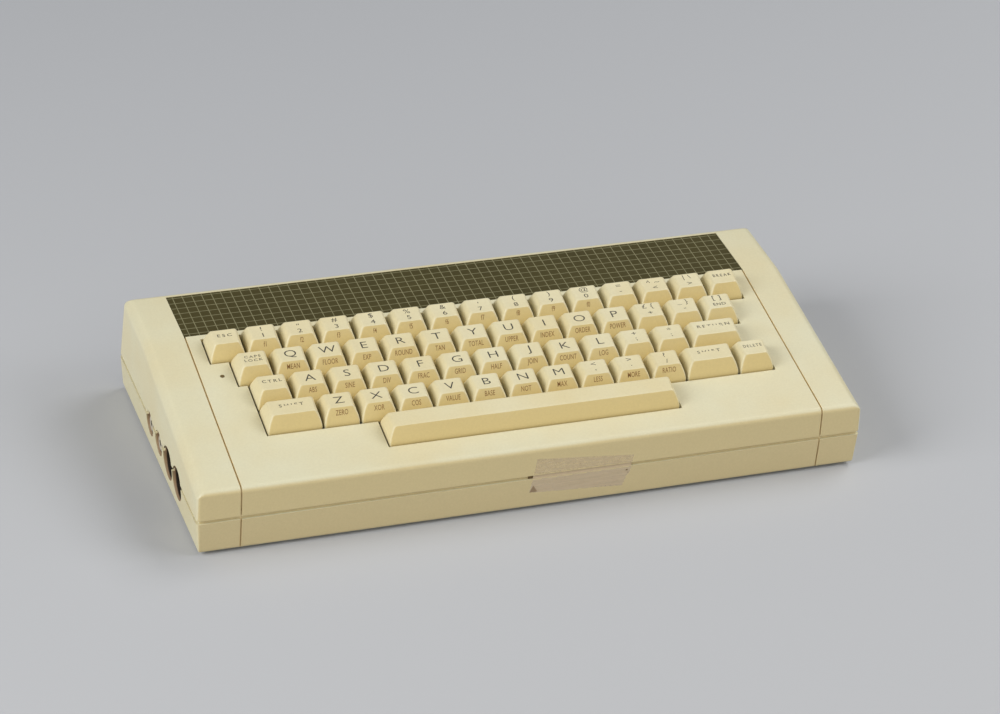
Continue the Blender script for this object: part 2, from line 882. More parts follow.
def join_rows(mesh: bmesh.types.BMesh, rows: Sequence[Sequence[bmesh.types.BMVert]]) -> None:
    """Joins closed rings of points with faces.

    Args:
        mesh: The bmesh.
        rows: The rings, each of which is joined to the next.
    """
    count = len(rows[0])
    for low, high in zip(rows, rows[1:]):
        for i in range(count):
            after = (i + 1) % count
            mesh.faces.new((low[i], low[after], high[after], high[i]))


def add_block(mesh: bmesh.types.BMesh, low: Vector, high: Vector) -> None:
    """Adds a box.

    Args:
        mesh: The bmesh to add to.
        low: Its low corner, in millimetres.
        high: Its high corner.
    """
    made = bmesh.ops.create_cube(mesh, size=1.0)
    for vert in made["verts"]:
        share = vert.co + Vector((0.5, 0.5, 0.5))
        vert.co = Vector([low[i] + (high[i] - low[i]) * share[i] for i in range(3)]) * MM


def circle(radius: float, h: float, count: int) -> list[Vector]:
    """Gives a level ring of points."""
    turns = [2 * math.pi * i / count for i in range(count)]
    return [Vector((radius * math.cos(turn), radius * math.sin(turn), h)) for turn in turns]


def lathe(
    mesh: bmesh.types.BMesh, profile: Sequence[tuple[float, float]], place: Matrix, count: int = 32
) -> None:
    """Adds a closed turned form.

    Args:
        mesh: The bmesh to add to.
        profile: Pairs of radius and height, from one end to the other; the ends are filled.
        place: Where the form's axis stands.
        count: The number of sides.
    """
    rows = [[mesh.verts.new(place @ point) for point in circle(r, h, count)] for r, h in profile]
    mesh.faces.new(list(reversed(rows[0])))
    join_rows(mesh, rows)
    mesh.faces.new(rows[-1])


# ---- Keyboard ----


@dataclass(frozen=True)
class Key:
    """A key: its name, width in units, and what stands on its top and its skirt."""

    name: str
    units: float = 1.0
    top: tuple[str, ...] = ()
    skirt: str = ""


@dataclass(frozen=True)
class KeyRow:
    """A row of keys: how far in it starts, in units, and its keys from left to right."""

    start: float
    keys: tuple[Key, ...]


def lettered(letters: str, words: str) -> tuple[Key, ...]:
    """Makes a run of letter keys.

    Args:
        letters: The letters on their tops.
        words: The words on their skirts, with spaces between them.

    Returns:
        The keys.
    """
    pairs = zip(letters, words.split(), strict=True)
    return tuple(Key(letter, top=(letter.upper(),), skirt=word) for letter, word in pairs)


def numbered(digits: str, marks: str) -> tuple[Key, ...]:
    """Makes a run of number keys, whose skirts carry their function numbers.

    Args:
        digits: The digits on their tops.
        marks: The mark over each digit.

    Returns:
        The keys.
    """
    pairs = zip(digits, marks, strict=True)
    return tuple(Key(digit, top=(mark, digit), skirt=f"f{digit}") for digit, mark in pairs)


KEY_ROWS = (
    KeyRow(
        0.0,
        (
            Key("escape", top=("ESC",)),
            *numbered("1234567890", "!\"#$%&'()@"),
            Key("minus", top=("=", "-")),
            Key("caret", top=("^ ~", "<")),
            Key("backslash", top=("| \\", ">")),
            Key("break", top=("BREAK",)),
        ),
    ),
    KeyRow(
        0.5,
        (
            Key("caps_lock", top=("CAPS", "LOCK")),
            *lettered("qwertyuiop", "MEAN FLOOR EXP ROUND TAN TOTAL UPPER INDEX ORDER POWER"),
            Key("pound", top=("£ {", "+")),
            Key("underscore", top=("_ }", "-")),
            Key("copy", top=("[ ]", "END")),
        ),
    ),
    KeyRow(
        0.75,
        (
            Key("control", top=("CTRL",)),
            *lettered("asdfghjkl", "ABS SINE DIV FRAC GRID HALF JOIN COUNT LOG"),
            Key("semicolon", top=("+", ";")),
            Key("colon", top=("*", ":")),
            Key("return", 1.5, ("RETURN",)),
        ),
    ),
    KeyRow(
        0.75,
        (
            Key("shift_left", 1.5, ("SHIFT",)),
            *lettered("zxcvbnm", "ZERO XOR COS VALUE BASE NOT MAX"),
            Key("comma", top=("<", ","), skirt="LESS"),
            Key("period", top=(">", "."), skirt="MORE"),
            Key("slash", top=("?", "/"), skirt="RATIO"),
            Key("shift_right", 1.5, ("SHIFT",)),
            Key("delete", top=("DELETE",)),
        ),
    ),
    KeyRow(3.7, (Key("space", 8.0),)),
)


@dataclass(frozen=True)
class CapShape:
    """The measures of a key cap, with the middle of its cell on the deck as its origin.

    A cap is a stack of rings. Each ring is a rounded outline at one level, which narrows towards
    the front as the top does. The rings rise by the sines of `turns`, in degrees, and those of the
    top shrink by `inner_shares` and sink into the dish.
    """

    pitch: float = 19.05
    base_w: float = 18.0
    base_d: float = 18.2
    top_w: float = 12.2
    front_narrower: float = 0.3
    rear_wider: float = 0.4
    top_front: float = 4.4
    top_rear: float = 6.0
    rise: float = 8.0
    skirt: float = 2.2
    wall: float = 1.2
    roof: float = 1.8
    dish: float = 0.3
    dish_at_edge: float = 0.35
    side_power: float = 1.7
    shoulder: float = 0.8
    front_edge_r: float = 0.7
    rear_edge_r: float = 0.9
    corner_r: float = 1.1
    waist: float = 0.2
    waist_blend: float = 0.7
    turns: tuple[float, ...] = (
        *(0, 9, 18, 27, 36, 45, 53, 60, 65, 69),
        *(72.5, 75.5, 78.5, 81.5, 84.5, 87.5, 90),
    )
    inner_shares: tuple[float, ...] = (0.88, 0.76, 0.62, 0.48, 0.34, 0.18)

    @property
    def middle_s(self) -> float:
        """Where the middle of the top lies."""
        return (self.top_rear - self.top_front) / 2

    def half_base(self, units: float) -> float:
        """Gives half the width at the base."""
        return units * self.pitch / 2 - (self.pitch - self.base_w) / 2

    def half_top(self, units: float, s: float = 0.0) -> float:
        """Gives half the width of the top, which narrows towards the front.

        Args:
            units: The key's width in units.
            s: Where on the top, from the cell's middle to the back.

        Returns:
            Half the width there.
        """
        share = (s - self.middle_s) / (self.top_rear + self.top_front) * 2
        change = self.rear_wider * max(share, 0.0) + self.front_narrower * min(share, 0.0)
        return self.half_base(units) - (self.base_w - self.top_w) / 2 + change

    def half_at(self, units: float, h: float, front: bool) -> float:
        """Gives half the width at a level.

        Args:
            units: The key's width in units.
            h: The level.
            front: Whether it is asked along the front of the cap, or else along its rear.

        Returns:
            Half the width there.
        """
        base = self.half_base(units)
        if h <= 0:
            return base
        top = self.half_top(units, -self.top_front if front else self.top_rear) + self.shoulder / 3
        width = top + (base - top) * (1 - (h / self.rise) ** self.side_power)
        above = (h - (self.rise - self.shoulder)) / self.shoulder
        if above > 0:
            width -= self.shoulder * (1 - math.sqrt(max(1 - above * above, 0.0)))
        return width

    def top_height(self, units: float, x: float, s: float, dish: float) -> float:
        """Gives the height of the dished top, which is shallower near its front and rear edges.

        Args:
            units: The key's width in units.
            x: Where on the top, from the cell's middle to the right.
            s: Where on the top, from the cell's middle to the back.
            dish: The depth of the dish.

        Returns:
            The height over the deck.
        """
        half = self.half_top(units, s)
        half_d = (self.top_front + self.top_rear) / 2
        across = min(abs(x) / half, 1.0)
        edge = min(max(across, abs(s - self.middle_s) / half_d), 1.0)
        fade = 1 - (1 - self.dish_at_edge) * edge * edge
        return self.rise - dish * fade * (1 - across * across)

    def face(self, h: float, top: float, high: float, edge_r: float) -> float:
        """Gives how far out the front or rear face stands at a height, with its upper edge rounded.

        Args:
            h: The height.
            top: The height of the top behind this part of the edge.
            high: Where the face would meet the top.
            edge_r: The radius of the edge.

        Returns:
            The distance outward from the middle.
        """
        low = self.base_d / 2
        lean = (low - high) / (self.rise - self.waist)
        stretch = math.sqrt(1 + lean * lean)
        centre_h = top - edge_r
        centre = low - lean * (centre_h - self.waist) - edge_r * stretch
        if h > centre_h + edge_r * lean / stretch:
            return centre + math.sqrt(max(edge_r * edge_r - (h - centre_h) ** 2, 0.0))
        above = h - self.waist
        if abs(above) < self.waist_blend:
            return low - lean * (above + self.waist_blend) ** 2 / (4 * self.waist_blend)
        return low - lean * max(above, 0.0)

    def standing(
        self, units: float, x: float, front: bool, h: float, dish: float, inset: float
    ) -> Vector:
        """Gives a point of the front or rear face.

        Args:
            units: The key's width in units.
            x: Where along the face.
            front: Whether it is the front face, or else the rear one.
            h: The level of the ring it belongs to.
            dish: The depth of the dish.
            inset: How far inside the cap's outside it stands.

        Returns:
            The point.
        """
        edge_s = -self.top_front if front else self.top_rear
        top = self.top_height(units, x, edge_s, dish)
        level = h * top / self.rise if h > 0 else h
        if front:
            reach = self.face(level, top, self.top_front, self.front_edge_r)
            return Vector((x, inset - reach, level))
        reach = self.face(level, top, self.top_rear, self.rear_edge_r)
        return Vector((x, reach - inset, level))

    def ring(
        self, units: float, h: float, dish: float, inset: float = 0.0, extra: float = 0.0
    ) -> list[Vector]:
        """Gives one level of the cap as a rounded outline.

        Args:
            units: The key's width in units.
            h: The level, before the dish lowers it.
            dish: The depth of the dish.
            inset: How far the ring stands inside the cap's outside.
            extra: How much wider the ring is than the cap at that level.

        Returns:
            The ring's points.
        """
        radius = max(self.corner_r - inset / 2, 0.3)
        points: list[Vector] = []
        arc_steps, edge_steps = 5, 8
        for side, front, start in ((1, True, -90), (1, False, 0), (-1, False, 90), (-1, True, 180)):
            reach = self.half_at(units, h, front) - inset - radius + extra
            for i in range(arc_steps + 1):
                turn = math.radians(start + 90 * i / arc_steps)
                x = side * reach + radius * math.cos(turn)
                point = self.standing(units, x, front, h, dish, inset)
                back_off = radius * (1 - abs(math.sin(turn)))
                point.y += back_off if front else -back_off
                points.append(point)
            if start in (0, 180):
                for i in range(1, edge_steps):
                    x = side * reach * (1 - 2 * i / edge_steps)
                    points.append(self.standing(units, x, front, h, dish, inset))
        return points

    def add_to(self, mesh: bmesh.types.BMesh, place: Matrix, units: float, dish: float) -> None:
        """Adds a cap, closed inside, to a bmesh.

        Args:
            mesh: The bmesh.
            place: Where the middle of the key's cell is.
            units: The key's width in units.
            dish: The depth of its dish.
        """
        lip = 0.15
        rings = [
            self.ring(units, self.rise - self.roof, 0.0, self.wall, -0.6),
            self.ring(units, 0.0, 0.0, self.wall),
            self.ring(units, -self.skirt, 0.0, self.wall),
            self.ring(units, -self.skirt, 0.0, lip),
            self.ring(units, -self.skirt + lip, 0.0),
            self.ring(units, -0.9, 0.0),
        ]
        levels = [self.rise * math.sin(math.radians(turn)) for turn in self.turns]
        rings += [self.ring(units, level, dish) for level in levels]
        edge = rings[-1]
        shift = self.half_base(units) - self.half_base(1.0)
        for share in self.inner_shares:
            inner = []
            for point in edge:
                fixed = math.copysign(shift, point.x) if abs(point.x) > shift else point.x
                x = fixed + (point.x - fixed) * share
                s = self.middle_s + (point.y - self.middle_s) * share
                inner.append(Vector((x, s, self.top_height(units, x, s, dish))))
            rings.append(inner)
        rows = [[mesh.verts.new(place @ point) for point in ring] for ring in rings]
        mesh.faces.new(list(reversed(rows[0])))
        join_rows(mesh, rows)
        mesh.faces.new(rows[-1])


class InkIndex(IntEnum):
    """The material index of each ink of the legends."""

    TOP = 0
    SKIRT = 1


@dataclass
class Keyboard:
    """The 56 keys: fine caps, their plungers and their legends."""

    cap: CapShape = field(default_factory=CapShape)
    front_s: float = 15.83
    row_units: float = 15.0
    plunger_r: float = 3.0
    plunger_foot: float = 7.5
    boss_h: float = 1.95
    boss_r: float = 1.96
    guide_x: float = 50.0
    guide_r: float = 2.4
    longest_dished: float = 2.0
    legend_margin: float = 2.2
    skirt_legend_h: float = 6.2
    ink_t: float = 0.03
    ink_lift: float = 0.012
    rows: tuple[KeyRow, ...] = KEY_ROWS

    def placed(self) -> Iterable[tuple[Key, float, float]]:
        """Lays the rows out, from the rear one to the front one.

        Returns:
            Each key with the x and s of the middle of its cell.
        """
        for index, row in enumerate(self.rows):
            unit = row.start
            s = self.front_s + (len(self.rows) - index - 0.5) * self.cap.pitch
            for key in row.keys:
                yield key, (unit + key.units / 2 - self.row_units / 2) * self.cap.pitch, s
                unit += key.units

    def node_of(self, key: Key) -> str:
        """Finds the node, and so the body, that a key belongs to.

        Args:
            key: The key.

        Returns:
            The node's name.
        """
        single = f"key_{key.name}"
        if single in frame["nodes"]:
            return single
        return "number_keys" if key.name.isdigit() else "symbol_keys"

    def build(self) -> None:
        """Builds the caps and legends of every node, and sets them on their bodies."""
        by_node: dict[str, list[tuple[Key, float, float]]] = {}
        for entry in self.placed():
            by_node.setdefault(self.node_of(entry[0]), []).append(entry)
        for node, entries in by_node.items():
            self.build_caps(node, entries)
            self.build_legends(node, entries)
        LOG.info("keyboard: %d bodies of keys", len(by_node))

    def build_caps(self, node: str, entries: Sequence[tuple[Key, float, float]]) -> None:
        """Builds the caps and plungers of one node, and the two guides of a long cap.

        Args:
            node: The node.
            entries: Its keys, each with the x and s of the middle of its cell.
        """
        under_roof = self.cap.rise - self.cap.roof
        plunger = [
            (self.plunger_r - 0.3, -self.plunger_foot),
            (self.plunger_r, -self.plunger_foot + 0.3),
            (self.plunger_r, self.boss_h - 0.2),
            (self.plunger_r - 0.2, self.boss_h),
            (self.boss_r, self.boss_h),
            (self.boss_r, under_roof),
        ]
        guide = [(self.guide_r, -self.plunger_foot), (self.guide_r, under_roof)]
        mesh = bmesh.new()
        for key, x, s in entries:
            place = DECK.matrix(x, s)
            long_key = key.units > self.longest_dished
            self.cap.add_to(mesh, place, key.units, 0.0 if long_key else self.cap.dish)
            lathe(mesh, plunger, place)
            if long_key:
                for side in (-1, 1):
                    lathe(mesh, guide, DECK.matrix(x + side * self.guide_x, s))
        piece = finished_object(f"caps_{node}", mesh, [KEY_PLASTIC], 60.0)
        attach(piece, node)
        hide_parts(node)

    def build_legends(self, node: str, entries: Sequence[tuple[Key, float, float]]) -> None:
        """Builds the legends of one node, as thin closed letters that lie on the caps.

        Args:
            node: The node.
            entries: Its keys, each with the x and s of the middle of its cell.
        """
        mesh = bmesh.new()
        for key, x, s in entries:
            place = DECK.matrix(x, s)
            for letters in self.top_letters(key):
                surface = partial(self.on_top, key)
                letters.add_to(mesh, place, surface, self.ink_t, self.ink_lift, InkIndex.TOP)
            for letters in self.skirt_letters(key):
                surface = self.on_skirt
                letters.add_to(mesh, place, surface, self.ink_t, self.ink_lift, InkIndex.SKIRT)
        if not mesh.verts:
            mesh.free()
            return
        piece = finished_object(f"legends_{node}", mesh, [TOP_INK, SKIRT_INK], 30.0)
        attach(piece, node)

    def on_top(self, key: Key, u: float, v: float) -> tuple[Vector, Vector]:
        """Gives the point and outward direction at u, v of a cap's top, from the cell's middle."""
        height = self.cap.top_height(key.units, u, v, self.cap.dish)
        return Vector((u, v, height)), Vector((0, 0, 1))

    def on_skirt(self, u: float, v: float) -> tuple[Vector, Vector]:
        """Gives a point of a cap's front face.

        Args:
            u: How far it lies to the right of the middle.
            v: How far it lies up the face.

        Returns:
            The point, and the direction outward from it.
        """
        lean = (self.cap.base_d / 2 - self.cap.top_front) / (self.cap.rise - self.cap.waist)
        up = Vector((0, lean, 1)).normalized()
        foot = Vector((0, -self.cap.base_d / 2, self.cap.waist))
        out = Vector((0, -1, lean)).normalized()
        return foot + up * v + Vector((u, 0, 0)), out

    def top_letters(self, key: Key) -> list["Letters"]:
        """Lays out what stands on the top of a key: a letter, a word, two words or two marks.

        Args:
            key: The key.

        Returns:
            Its letters.
        """
        middle = self.cap.middle_s
        widest = 2 * self.cap.half_top(key.units) - self.legend_margin
        if not key.top:
            return []
        if len(key.top) == 1:
            word = key.top[0]
            if len(word) == 1:
                return [Letters(word, 5.0, middle)]
            return [Letters(word, 2.1, middle + 0.9, 1.25, 0.006, 1.45, widest)]
        upper, lower = key.top
        if len(upper) > 3:
            return [
                Letters(upper, 1.8, middle + 1.6, 1.2, 0.004, 1.3, widest),
                Letters(lower, 1.8, middle - 1.2, 1.2, 0.004, 1.3, widest),
            ]
        low_size, thin = (2.0, 0.004) if len(lower) > 1 else (3.1, -0.006)
        return [
            Letters(upper, 3.1, middle + 2.4, thin=-0.006),
            Letters(lower, low_size, middle - 2.3, thin=thin, widest=widest),
        ]

    def skirt_letters(self, key: Key) -> list["Letters"]:
        """Lays out what stands on the front face of a key.

        Args:
            key: The key.

        Returns:
            Its letters.
        """
        if not key.skirt:
            return []
        return [Letters(key.skirt, 2.7, self.skirt_legend_h, 0.64, 0.004, 1.06, 10.4)]


@dataclass(frozen=True)
class Letters:
    """A short text, centred on the middle of a surface, at v up it."""

    text: str
    height: float
    v: float
    stretch: float = 1.22
    thin: float = -0.012
    spacing: float = 1.08
    widest: float = 20.0
    longest_edge: float = 0.7
    size_of_unit_capital: float = 1.4

    def flat_mesh(self, thickness: float) -> bpy.types.Mesh:
        """Makes the text as a flat solid, one unit high.

        Args:
            thickness: Its thickness once it has its own height.

        Returns:
            The mesh.
        """
        curve = bpy.data.curves.new("letters", "FONT")
        curve.body = self.text
        curve.size = self.size_of_unit_capital
        curve.align_x = "CENTER"
        curve.resolution_u = 3
        curve.offset = self.thin
        curve.space_character = self.spacing
        curve.extrude = thickness / self.height / 2
        holder = bpy.data.objects.new("letters", curve)
        bpy.context.scene.collection.objects.link(holder)
        bpy.context.view_layer.update()
        solid = holder.evaluated_get(bpy.context.evaluated_depsgraph_get())
        made = bpy.data.meshes.new_from_object(solid)
        bpy.data.objects.remove(holder)
        bpy.data.curves.remove(curve)
        return made

    def add_to(
        self,
        mesh: bmesh.types.BMesh,
        place: Matrix,
        surface: Callable[[float, float], tuple[Vector, Vector]],
        thickness: float,
        lift: float,
        material: int,
    ) -> None:
        """Lays the letters on a surface and adds them to a bmesh.

        Args:
            mesh: The bmesh.
            place: Where the surface's own axes stand.
            surface: Gives a point and its outward direction for u and v.
            thickness: The letters' thickness.
            lift: How far their middle stands off the surface.
            material: The material index of the letters.
        """
        flat = self.flat_mesh(thickness)
        part = bmesh.new()
        part.from_mesh(flat)
        bpy.data.meshes.remove(flat)
        bmesh.ops.remove_doubles(part, verts=part.verts, dist=1e-5)
        if not part.verts:
            part.free()
            return
        across = [vert.co.x for vert in part.verts]
        upward = [vert.co.y for vert in part.verts]
        centre_u = (max(across) + min(across)) / 2
        centre_v = (max(upward) + min(upward)) / 2
        width = (max(across) - min(across)) * self.height
        stretch = min(self.stretch, self.widest / max(width, 0.1))
        long_edges = [
            edge for edge in part.edges if edge.calc_length() * self.height > self.longest_edge
        ]
        if long_edges:
            bmesh.ops.subdivide_edges(part, edges=long_edges, cuts=2)
        bmesh.ops.triangulate(part, faces=[face for face in part.faces if len(face.verts) > 4])
        for vert in part.verts:
            u = (vert.co.x - centre_u) * self.height * stretch
            v = self.v + (vert.co.y - centre_v) * self.height
            point, out = surface(u, v)
            vert.co = place @ (point + out * (lift + vert.co.z * self.height))
        for face in part.faces:
            face.material_index = material
        scratch = bpy.data.meshes.new("scratch")
        part.to_mesh(scratch)
        part.free()
        mesh.from_mesh(scratch)
        bpy.data.meshes.remove(scratch)


# ---- Case, sockets and wear ----


@dataclass
class Case:
    """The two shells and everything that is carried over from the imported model."""

    bevel_w: float = 0.28
    smooth_angle: float = 32.0
    bevel_angle: float = 40.0
    flat_angle: float = 0.6
    weld_gap: float = 0.002
    bevelled: tuple[str, ...] = ("upper_case", "lower_case", "grid_panel")
    rounded: tuple[str, ...] = (
        "din_sockets",
        "power_jack",
        "rf_modulator",
        "video_socket",
        "rubber_feet",
    )

    def dress(self) -> None:
        """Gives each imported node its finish, and softens the edges that show."""
        for node, finish in NODE_FINISHES.items():
            piece = frame["nodes"][node]
            piece.data.materials.clear()
            piece.data.materials.append(finish.material())
            piece.data.shade_smooth()
            piece.data.set_sharp_from_angle(angle=math.radians(self.smooth_angle))
            LOG.info("packed piece %s: %s", node, finish.name)
        for node in self.bevelled:
            self.soften(frame["nodes"][node], self.bevel_w)
        for node in self.rounded:
            self.soften(frame["nodes"][node], self.bevel_w / 2)

    def soften(self, piece: bpy.types.Object, width: float) -> None:
        """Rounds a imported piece's edges with modifiers, which leave its mesh as it is.

        Args:
            piece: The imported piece.
            width: The width of its bevels.
        """
        weld = piece.modifiers.new("weld", "WELD")
        weld.merge_threshold = self.weld_gap * MM
        plane = piece.modifiers.new("flat", "DECIMATE")
        plane.decimate_type = "DISSOLVE"
        plane.angle_limit = math.radians(self.flat_angle)
        edge = piece.modifiers.new("edge", "BEVEL")
        edge.width = width * MM
        edge.segments = 2
        edge.limit_method = "ANGLE"
        edge.angle_limit = math.radians(self.bevel_angle)
        edge.use_clamp_overlap = True
        edge.harden_normals = False
        normal = piece.modifiers.new("normal", "WEIGHTED_NORMAL")
        normal.keep_sharp = False


@dataclass
class Sockets:
    """The insulators of the small sockets, and the edge connector's gilded fingers."""

    insulator_r: float = 3.45
    contact_r: float = 1.72
    proud: float = 0.15
    sunk: float = 1.0
    finger_pitch: float = 2.54
    finger_w: float = 1.6
    finger_len: float = 9.0
    finger_t: float = 0.05
    finger_half_span: float = 30.5
    edge_setback: float = 0.6

    def build(self) -> None:
        """Builds the fillings and sets them on the case."""
        self.build_insulators()
        self.build_fingers()

    def build_insulators(self) -> None:
        """Builds a ring of insulator in the mouth of each small socket's barrel."""
        mesh = bmesh.new()
        for name in ("video_out", "aerial_out"):
            mount = next(m for m in frame["record"]["mounts"] if m["name"] == name)
            x, y, z = (value / MM for value in mount["pos_m"])
            tip = x - mount["dims"]["length_mm"] / 2
            rows = []
            for along, radius in (
                (tip - self.proud, self.insulator_r),
                (tip - self.proud, self.contact_r),
                (tip + self.sunk, self.contact_r),
                (tip + self.sunk, self.insulator_r),
            ):
                rows.append([mesh.verts.new(point) for point in self.loop(along, y, z, radius)])
            join_rows(mesh, rows + [rows[0]])
        piece = finished_object("socket_insulators", mesh, [INSULATOR], 30.0)
        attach(piece, CASE_BODY)

    def loop(self, x: float, y: float, z: float, radius: float) -> list[Vector]:
        """Gives a ring of points round the axis of a side socket, in metres."""
        points = circle(radius, 0.0, 40)
        return [Vector((x, y + point.x, z + point.y)) * MM for point in points]

    def build_fingers(self) -> None:
        """Builds the gilded contacts on both faces of the main board's rear edge."""
        low, high = (Vector(corner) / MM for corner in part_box("main_board"))
        back = high.y - self.edge_setback
        mesh = bmesh.new()
        count = int(2 * self.finger_half_span / self.finger_pitch) + 1
        for i in range(count):
            x = (i - (count - 1) / 2) * self.finger_pitch
            for z in (low.z - self.finger_t, high.z):
                add_block(
                    mesh,
                    Vector((x - self.finger_w / 2, back - self.finger_len, z)),
                    Vector((x + self.finger_w / 2, back, z + self.finger_t)),
                )
        piece = finished_object("edge_contacts", mesh, [CONTACT_BRASS], 30.0)
        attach(piece, CASE_BODY)


class TapeIndex(IntEnum):
    """The material index of what lies on the tape; the film itself has index 0."""

    FOLD = 1
    DIRT = 2


@dataclass
class OldTape:
    """A remnant of clear tape, brittle and dusty, that bridges the gap between the shells.

    It lies on the shells' fronts, whose heights and slopes stand from `front_y` to `lip_inset`.
    """

    left: float = -4.0
    right: float = 47.0
    low: tuple[float, float] = (10.7, 7.4)
    high: tuple[float, float] = (30.3, 25.3)
    slant: float = 3.1
    torn_to: float = 0.4
    torn_by: float = 1.8
    nibble: float = 0.5
    gap_low: float = 18.8
    gap_high: float = 21.2
    sag: float = 0.5
    off: float = 0.012
    sunk: float = 0.06
    column: float = 0.75
    row_count: int = 30
    fold: float = 4.2
    front_y: float = -81.0
    parting_z: float = 20.0
    front_lean: float = 0.3
    front_rise: float = 16.5
    rim_z: float = 19.0
    foot_h: float = 1.5
    lower_taper: float = 1.3
    lip_inset: float = 1.2
    specks: tuple[tuple[float, float, float], ...] = (
        (0.69, 0.02, 0.5),
        (0.745, 0.015, 0.6),
        (0.79, 0.02, 0.45),
        (0.84, 0.02, 0.6),
        (0.965, 0.5, 1.3),
        (0.985, 0.42, 0.7),
        (0.9, 0.01, 0.4),
        (0.46, 0.8, 0.5),
    )

    def face_y(self, z: float) -> float:
        """Finds how far forward the case's front stands, with a sag across the gap.

        Args:
            z: The height.

        Returns:
            The y of the front.
        """
        if z > self.gap_high:
            return self.front_y + self.front_lean * (z - self.parting_z) / self.front_rise
        if z < self.gap_low:
            return self.front_y + self.lower_taper * (self.rim_z - z) / (self.rim_z - self.foot_h)
        share = (z - self.gap_low) / (self.gap_high - self.gap_low)
        below, above = self.face_y(self.gap_low - 0.01), self.face_y(self.gap_high + 0.01)
        return below * (1 - share) + above * share + self.sag * math.sin(math.pi * share)

    def edges(self, up: float) -> tuple[float, float]:
        """Finds where the torn left and right ends lie.

        Args:
            up: The share of the tape's height.

        Returns:
            The x of each end.
        """
        wave = 18.0 * up
        ragged = 0.35 * math.sin(3.1 * wave) + 0.22 * math.sin(7.3 * wave + 1.0)
        ragged += random.uniform(-0.12, 0.12)
        torn = self.torn_by * (1 - up / (2 * self.torn_to)) if up < self.torn_to else 0.0
        shift = self.slant * up
        return self.left + shift + 0.4 * ragged, self.right + shift - torn + ragged

    def place(self, across: float, up: float) -> tuple[float, float]:
        """Finds a point of the tape, without its torn edges.

        Args:
            across: Its share of the width.
            up: Its share of the height.

        Returns:
            Its x and z.
        """
        low = self.low[0] + (self.low[1] - self.low[0]) * across
        high = self.high[0] + (self.high[1] - self.high[0]) * across
        x = self.left + (self.right - self.left) * across + self.slant * up
        return x, low + (high - low) * up

    def build(self) -> None:
        """Builds the tape with its folded corner and its dirt, and sets it on the case."""
        mesh = bmesh.new()
        columns = int((self.right - self.left) / self.column)
        nibbles = [random.uniform(0.0, self.nibble) ** 2 for _ in range(columns + 1)]
        sheets = {-self.off: [], self.sunk: []}
        for j in range(self.row_count + 1):
            up = j / self.row_count
            left, right = self.edges(up)
            for depth, sheet in sheets.items():
                line = []
                for i in range(columns + 1):
                    nibbled = nibbles[i] * 1.4 if j == 0 else 0.0
                    z = self.place(i / columns, up)[1] + nibbled
                    x = left + (right - left) * i / columns
                    line.append(mesh.verts.new(Vector((x, self.face_y(z) + depth, z)) * MM))
                sheet.append(line)
        front, back = sheets.values()
        for sheet, turned in ((front, False), (back, True)):
            for low, high in zip(sheet, sheet[1:]):
                for i in range(columns):
                    quad = (low[i], low[i + 1], high[i + 1], high[i])
                    mesh.faces.new(tuple(reversed(quad)) if turned else quad)
        join_rows(mesh, [self.rim(front), self.rim(back)])
        self.add_fold(mesh)
        self.add_dirt(mesh)
        piece = finished_object("tape_remnant", mesh, [TAPE, TAPE_FOLD, GRIME], 60.0)
        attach(piece, CASE_BODY)

    def rim(self, sheet: Sequence[Sequence[bmesh.types.BMVert]]) -> list[bmesh.types.BMVert]:
        """Collects the points round a sheet's edge.

        Args:
            sheet: The sheet's rows of points.

        Returns:
            The points, in order.
        """
        bottom, top = list(sheet[0]), list(reversed(sheet[-1]))
        right = [line[-1] for line in sheet[1:-1]]
        left = [line[0] for line in reversed(sheet[1:-1])]
        return bottom + right + top + left

    def add_fold(self, mesh: bmesh.types.BMesh) -> None:
        """Adds the corner that has folded over at the lower left.

        Args:
            mesh: The bmesh to add to.
        """
        x, z = self.left + 0.1, self.low[0] + 0.1
        tip = (x + self.fold * 0.42, z + self.fold)
        self.add_flake(mesh, [(x, z), (x + self.fold, z + 0.2), tip], TapeIndex.FOLD)

    def add_dirt(self, mesh: bmesh.types.BMesh) -> None:
        """Adds specks of dirt in the glue, and the grime in the gap beside the tape's left end.

        Args:
            mesh: The bmesh to add to.
        """
        for across, up, size in self.specks:
            x, z = self.place(across, up)
            outline = [
                (x - size / 2, z),
                (x + size * 0.3, z + size * 0.1),
                (x + size / 2, z + size * 0.7),
                (x - size * 0.2, z + size * 0.6),
            ]
            self.add_flake(mesh, outline, TapeIndex.DIRT)
        made = len(mesh.faces)
        x = self.place(0.0, 0.4)[0]
        back = self.front_y + self.lip_inset
        low = Vector((x - 2.2, back - 0.5, self.rim_z))
        add_block(mesh, low, Vector((x + 0.9, back + 0.1, self.rim_z + 1.8)))
        mesh.faces.ensure_lookup_table()
        for face in mesh.faces[made:]:
            face.material_index = TapeIndex.DIRT

    def add_flake(
        self, mesh: bmesh.types.BMesh, outline: Sequence[tuple[float, float]], material: int
    ) -> None:
        """Adds a thin flake that lies on the tape.

        Args:
            mesh: The bmesh to add to.
            outline: The x and z of its corners.
            material: Its material index.
        """
        front, back = (
            [mesh.verts.new(Vector((x, self.face_y(z) + depth, z)) * MM) for x, z in outline]
            for depth in (-self.off * 1.8, self.sunk)
        )
        made = [mesh.faces.new(front), mesh.faces.new(list(reversed(back)))]
        for i in range(len(outline)):
            after = (i + 1) % len(outline)
            made.append(mesh.faces.new((front[i], front[after], back[after], back[i])))
        for face in made:
            face.material_index = material


# ---- Studio ----


